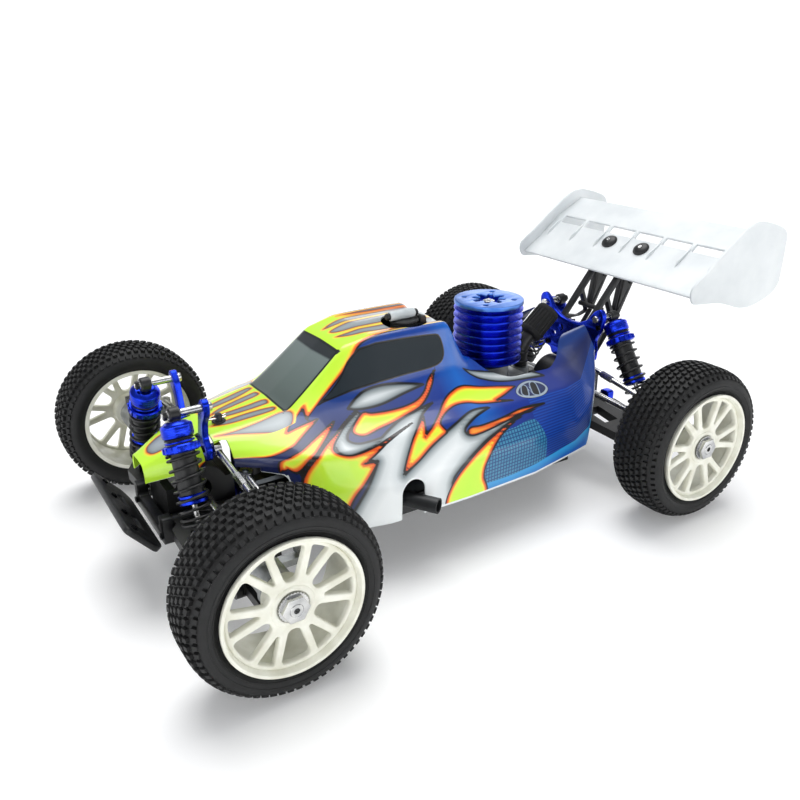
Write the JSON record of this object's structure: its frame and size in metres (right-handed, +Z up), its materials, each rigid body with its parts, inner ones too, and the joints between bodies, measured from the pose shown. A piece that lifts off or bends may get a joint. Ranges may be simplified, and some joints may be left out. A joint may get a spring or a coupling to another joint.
{
  "type": "rc buggy",
  "caption": "Radio-controlled off-road buggy with open wheels, coil-over shocks, a painted shell and a rear wing.",
  "frame": {"origin": "on the ground under the middle of the car's bounding box", "axes": "+X forward, +Y to the driver's left, +Z up"},
  "size_m": [0.5156, 0.3142, 0.1995],
  "materials": {
    "anodised_blue": "anodised, satin",
    "machined_steel": "turned and bright",
    "moulded_nylon": "moulded, satin black",
    "spring_black": "powder coated black",
    "rim_nylon": "moulded, off-white",
    "tyre_rubber": "matte black rubber",
    "chassis_alloy": "hard anodised grey",
    "shell_paint": "painted polycarbonate, flames over blue",
    "wing_nylon": "moulded, white",
    "cast_alloy": "cast, as cast",
    "exhaust_metal": "polished pipe with a black outlet",
    "tank_plastic": "translucent smoke",
    "lid_plastic": "moulded, light grey and black",
    "filter_rubber": "oiled foam and rubber"
  },
  "bodies": {
    "chassis": {"chassis_plate": "chassis_alloy", "side_guards": "moulded_nylon", "front_bumper": "moulded_nylon", "gear_cases": "moulded_nylon", "hinge_blocks": "anodised_blue", "front_shock_tower": "anodised_blue", "rear_shock_tower": "anodised_blue", "wing": "wing_nylon", "wing_mount": "moulded_nylon", "body_shell": "shell_paint", "engine_block": "cast_alloy", "cooling_head": "anodised_blue", "exhaust_pipe": "exhaust_metal", "air_filter": "filter_rubber", "fuel_tank": "tank_plastic", "radio_tray": "moulded_nylon"},
    "arm_fl": {"arm_fl": "moulded_nylon"},
    "hub_carrier_fl": {"hub_carrier_fl": "moulded_nylon"},
    "knuckle_fl": {"knuckle_fl": "cast_alloy"},
    "wheel_fl": {"rim_fl": "rim_nylon", "tyre_fl": "tyre_rubber"},
    "upper_link_fl": {"upper_link_fl": "machined_steel"},
    "shock_body_fl": {"shock_body_fl": "anodised_blue", "spring_fl": "spring_black"},
    "shock_shaft_fl": {"shock_shaft_fl": "machined_steel"},
    "drive_shaft_fl": {"drive_shaft_fl": "machined_steel"},
    "arm_fr": {"arm_fr": "moulded_nylon"},
    "hub_carrier_fr": {"hub_carrier_fr": "moulded_nylon"},
    "knuckle_fr": {"knuckle_fr": "cast_alloy"},
    "wheel_fr": {"rim_fr": "rim_nylon", "tyre_fr": "tyre_rubber"},
    "upper_link_fr": {"upper_link_fr": "machined_steel"},
    "shock_body_fr": {"shock_body_fr": "anodised_blue", "spring_fr": "spring_black"},
    "shock_shaft_fr": {"shock_shaft_fr": "machined_steel"},
    "drive_shaft_fr": {"drive_shaft_fr": "machined_steel"},
    "arm_rl": {"arm_rl": "moulded_nylon"},
    "hub_carrier_rl": {"hub_carrier_rl": "moulded_nylon"},
    "wheel_rl": {"rim_rl": "rim_nylon", "tyre_rl": "tyre_rubber"},
    "upper_link_rl": {"upper_link_rl": "machined_steel"},
    "shock_body_rl": {"shock_body_rl": "anodised_blue", "spring_rl": "spring_black"},
    "shock_shaft_rl": {"shock_shaft_rl": "machined_steel"},
    "drive_shaft_rl": {"drive_shaft_rl": "machined_steel"},
    "arm_rr": {"arm_rr": "moulded_nylon"},
    "hub_carrier_rr": {"hub_carrier_rr": "moulded_nylon"},
    "wheel_rr": {"rim_rr": "rim_nylon", "tyre_rr": "tyre_rubber"},
    "upper_link_rr": {"upper_link_rr": "machined_steel"},
    "shock_body_rr": {"shock_body_rr": "anodised_blue", "spring_rr": "spring_black"},
    "shock_shaft_rr": {"shock_shaft_rr": "machined_steel"},
    "drive_shaft_rr": {"drive_shaft_rr": "machined_steel"},
    "servo_saver": {"servo_saver": "moulded_nylon"},
    "steering_plate": {"steering_plate": "chassis_alloy"},
    "tie_rod_l": {"tie_rod_l": "machined_steel"},
    "tie_rod_r": {"tie_rod_r": "machined_steel"},
    "centre_drive": {"centre_drive": "machined_steel"},
    "fuel_lid": {"fuel_lid": "lid_plastic"}
  },
  "joints": [
    {"name": "arm_swing_fl", "type": "hinge", "parent": "chassis", "child": "arm_fl", "pos_m": [0.20075, 0.024, 0.048], "axis": [1, 0, 0], "range_deg": [-14, 14], "stiffness_Nm_per_rad": 2.6, "springref_deg": -14.32},
    {"name": "hub_level_fl", "type": "hinge", "parent": "arm_fl", "child": "hub_carrier_fl", "pos_m": [0.20075, 0.1, 0.038], "axis": [1, 0, 0], "range_deg": [-14, 14]},
    {"name": "kingpin_fl", "type": "hinge", "parent": "hub_carrier_fl", "child": "knuckle_fl", "pos_m": [0.20075, 0.12, 0.057], "axis": [0, 0, 1], "range_deg": [-28, 28]},
    {"name": "wheel_spin_fl", "type": "hinge", "parent": "knuckle_fl", "child": "wheel_fl", "pos_m": [0.20075, 0.12, 0.057], "axis": [0, 1, 0], "continuous": true},
    {"name": "upper_link_swing_fl", "type": "hinge", "parent": "chassis", "child": "upper_link_fl", "pos_m": [0.19015, 0.025, 0.09], "axis": [1, 0, 0], "range_deg": [-14, 14]},
    {"name": "shock_tilt_fl", "type": "hinge", "parent": "chassis", "child": "shock_body_fl", "pos_m": [0.21525, 0.0285, 0.121], "axis": [1, 0, 0], "range_deg": [-1.9, 1.9]},
    {"name": "shock_stroke_fl", "type": "slide", "parent": "shock_body_fl", "child": "shock_shaft_fl", "axis": [0, 0.3968, -0.9179], "range_m": [-0.0083, 0.0083], "deforming": ["spring_fl"]},
    {"name": "drive_shaft_swing_fl", "type": "hinge", "parent": "chassis", "child": "drive_shaft_fl", "pos_m": [0.20075, 0.014, 0.062], "axis": [1, 0, 0], "range_deg": [-10.4, 10.4]},
    {"name": "arm_swing_fr", "type": "hinge", "parent": "chassis", "child": "arm_fr", "pos_m": [0.20075, -0.024, 0.048], "axis": [-1, 0, 0], "range_deg": [-14, 14], "stiffness_Nm_per_rad": 2.6, "springref_deg": -14.32},
    {"name": "hub_level_fr", "type": "hinge", "parent": "arm_fr", "child": "hub_carrier_fr", "pos_m": [0.20075, -0.1, 0.038], "axis": [-1, 0, 0], "range_deg": [-14, 14]},
    {"name": "kingpin_fr", "type": "hinge", "parent": "hub_carrier_fr", "child": "knuckle_fr", "pos_m": [0.20075, -0.12, 0.057], "axis": [0, 0, 1], "range_deg": [-28, 28]},
    {"name": "wheel_spin_fr", "type": "hinge", "parent": "knuckle_fr", "child": "wheel_fr", "pos_m": [0.20075, -0.12, 0.057], "axis": [0, 1, 0], "continuous": true},
    {"name": "upper_link_swing_fr", "type": "hinge", "parent": "chassis", "child": "upper_link_fr", "pos_m": [0.19015, -0.025, 0.09], "axis": [-1, 0, 0], "range_deg": [-14, 14]},
    {"name": "shock_tilt_fr", "type": "hinge", "parent": "chassis", "child": "shock_body_fr", "pos_m": [0.21525, -0.0285, 0.121], "axis": [-1, 0, 0], "range_deg": [-1.9, 1.9]},
    {"name": "shock_stroke_fr", "type": "slide", "parent": "shock_body_fr", "child": "shock_shaft_fr", "axis": [0, -0.3968, -0.9179], "range_m": [-0.0083, 0.0083], "deforming": ["spring_fr"]},
    {"name": "drive_shaft_swing_fr", "type": "hinge", "parent": "chassis", "child": "drive_shaft_fr", "pos_m": [0.20075, -0.014, 0.062], "axis": [-1, 0, 0], "range_deg": [-10.4, 10.4]},
    {"name": "arm_swing_rl", "type": "hinge", "parent": "chassis", "child": "arm_rl", "pos_m": [-0.12425, 0.024, 0.048], "axis": [1, 0, 0], "range_deg": [-14, 14], "stiffness_Nm_per_rad": 2.9, "springref_deg": -15.47},
    {"name": "hub_level_rl", "type": "hinge", "parent": "arm_rl", "child": "hub_carrier_rl", "pos_m": [-0.12425, 0.094, 0.038], "axis": [1, 0, 0], "range_deg": [-14, 14]},
    {"name": "wheel_spin_rl", "type": "hinge", "parent": "hub_carrier_rl", "child": "wheel_rl", "pos_m": [-0.12425, 0.1125, 0.057], "axis": [0, 1, 0], "continuous": true},
    {"name": "upper_link_swing_rl", "type": "hinge", "parent": "chassis", "child": "upper_link_rl", "pos_m": [-0.11225, 0.025, 0.09], "axis": [1, 0, 0], "range_deg": [-14, 14]},
    {"name": "shock_tilt_rl", "type": "hinge", "parent": "chassis", "child": "shock_body_rl", "pos_m": [-0.14375, 0.03, 0.121], "axis": [1, 0, 0], "range_deg": [-4.7, 4.7]},
    {"name": "shock_stroke_rl", "type": "slide", "parent": "shock_body_rl", "child": "shock_shaft_rl", "axis": [0, 0.5495, -0.8355], "range_m": [-0.0112, 0.0112], "deforming": ["spring_rl"]},
    {"name": "drive_shaft_swing_rl", "type": "hinge", "parent": "chassis", "child": "drive_shaft_rl", "pos_m": [-0.12425, 0.014, 0.062], "axis": [1, 0, 0], "range_deg": [-10.4, 10.4]},
    {"name": "arm_swing_rr", "type": "hinge", "parent": "chassis", "child": "arm_rr", "pos_m": [-0.12425, -0.024, 0.048], "axis": [-1, 0, 0], "range_deg": [-14, 14], "stiffness_Nm_per_rad": 2.9, "springref_deg": -15.47},
    {"name": "hub_level_rr", "type": "hinge", "parent": "arm_rr", "child": "hub_carrier_rr", "pos_m": [-0.12425, -0.094, 0.038], "axis": [-1, 0, 0], "range_deg": [-14, 14]},
    {"name": "wheel_spin_rr", "type": "hinge", "parent": "hub_carrier_rr", "child": "wheel_rr", "pos_m": [-0.12425, -0.1125, 0.057], "axis": [0, 1, 0], "continuous": true},
    {"name": "upper_link_swing_rr", "type": "hinge", "parent": "chassis", "child": "upper_link_rr", "pos_m": [-0.11225, -0.025, 0.09], "axis": [-1, 0, 0], "range_deg": [-14, 14]},
    {"name": "shock_tilt_rr", "type": "hinge", "parent": "chassis", "child": "shock_body_rr", "pos_m": [-0.14375, -0.03, 0.121], "axis": [-1, 0, 0], "range_deg": [-4.7, 4.7]},
    {"name": "shock_stroke_rr", "type": "slide", "parent": "shock_body_rr", "child": "shock_shaft_rr", "axis": [0, -0.5495, -0.8355], "range_m": [-0.0112, 0.0112], "deforming": ["spring_rr"]},
    {"name": "drive_shaft_swing_rr", "type": "hinge", "parent": "chassis", "child": "drive_shaft_rr", "pos_m": [-0.12425, -0.014, 0.062], "axis": [-1, 0, 0], "range_deg": [-10.4, 10.4]},
    {"name": "steering", "type": "hinge", "parent": "chassis", "child": "servo_saver", "pos_m": [0.16475, 0.015, 0.062], "axis": [0, 0, 1], "range_deg": [-28, 28]},
    {"name": "plate_level", "type": "hinge", "parent": "servo_saver", "child": "steering_plate", "pos_m": [0.14375, 0.015, 0.072], "axis": [0, 0, 1], "range_deg": [-28, 28]},
    {"name": "tie_rod_swing_l", "type": "hinge", "parent": "steering_plate", "child": "tie_rod_l", "pos_m": [0.17975, 0.044, 0.078], "axis": [1, 0, 0], "range_deg": [-14, 14]},
    {"name": "tie_rod_swing_r", "type": "hinge", "parent": "steering_plate", "child": "tie_rod_r", "pos_m": [0.17975, -0.044, 0.078], "axis": [-1, 0, 0], "range_deg": [-14, 14]},
    {"name": "centre_drive_spin", "type": "hinge", "parent": "chassis", "child": "centre_drive", "pos_m": [0.03825, 0, 0.054], "axis": [1, 0, 0], "continuous": true},
    {"name": "fuel_lid_hinge", "type": "hinge", "parent": "chassis", "child": "fuel_lid", "pos_m": [0.03075, 0.012, 0.1455], "axis": [0, -1, 0], "range_deg": [0, 95], "stiffness_Nm_per_rad": 0.02, "springref_deg": -22.92}
  ],
  "couplings": [
    {"joint": "hub_level_fl", "follows": "arm_swing_fl", "ratio": -1},
    {"joint": "kingpin_fl", "follows": "steering", "ratio": 1},
    {"joint": "upper_link_swing_fl", "follows": "arm_swing_fl", "ratio": 1},
    {"joint": "shock_tilt_fl", "follows": "arm_swing_fl", "ratio": 0.1203},
    {"joint": "shock_stroke_fl", "follows": "arm_swing_fl", "m_per_rad": -0.032967},
    {"joint": "drive_shaft_swing_fl", "follows": "arm_swing_fl", "ratio": 0.724},
    {"joint": "hub_level_fr", "follows": "arm_swing_fr", "ratio": -1},
    {"joint": "kingpin_fr", "follows": "steering", "ratio": 1},
    {"joint": "upper_link_swing_fr", "follows": "arm_swing_fr", "ratio": 1},
    {"joint": "shock_tilt_fr", "follows": "arm_swing_fr", "ratio": 0.1203},
    {"joint": "shock_stroke_fr", "follows": "arm_swing_fr", "m_per_rad": -0.032967},
    {"joint": "drive_shaft_swing_fr", "follows": "arm_swing_fr", "ratio": 0.724},
    {"joint": "hub_level_rl", "follows": "arm_swing_rl", "ratio": -1},
    {"joint": "upper_link_swing_rl", "follows": "arm_swing_rl", "ratio": 1},
    {"joint": "shock_tilt_rl", "follows": "arm_swing_rl", "ratio": 0.3234},
    {"joint": "shock_stroke_rl", "follows": "arm_swing_rl", "m_per_rad": -0.045097},
    {"joint": "drive_shaft_swing_rl", "follows": "arm_swing_rl", "ratio": 0.7183},
    {"joint": "hub_level_rr", "follows": "arm_swing_rr", "ratio": -1},
    {"joint": "upper_link_swing_rr", "follows": "arm_swing_rr", "ratio": 1},
    {"joint": "shock_tilt_rr", "follows": "arm_swing_rr", "ratio": 0.3234},
    {"joint": "shock_stroke_rr", "follows": "arm_swing_rr", "m_per_rad": -0.045097},
    {"joint": "drive_shaft_swing_rr", "follows": "arm_swing_rr", "ratio": 0.7183},
    {"joint": "plate_level", "follows": "steering", "ratio": -1},
    {"joint": "tie_rod_swing_l", "follows": "arm_swing_fl", "ratio": 1},
    {"joint": "tie_rod_swing_r", "follows": "arm_swing_fr", "ratio": 1}
  ]
}
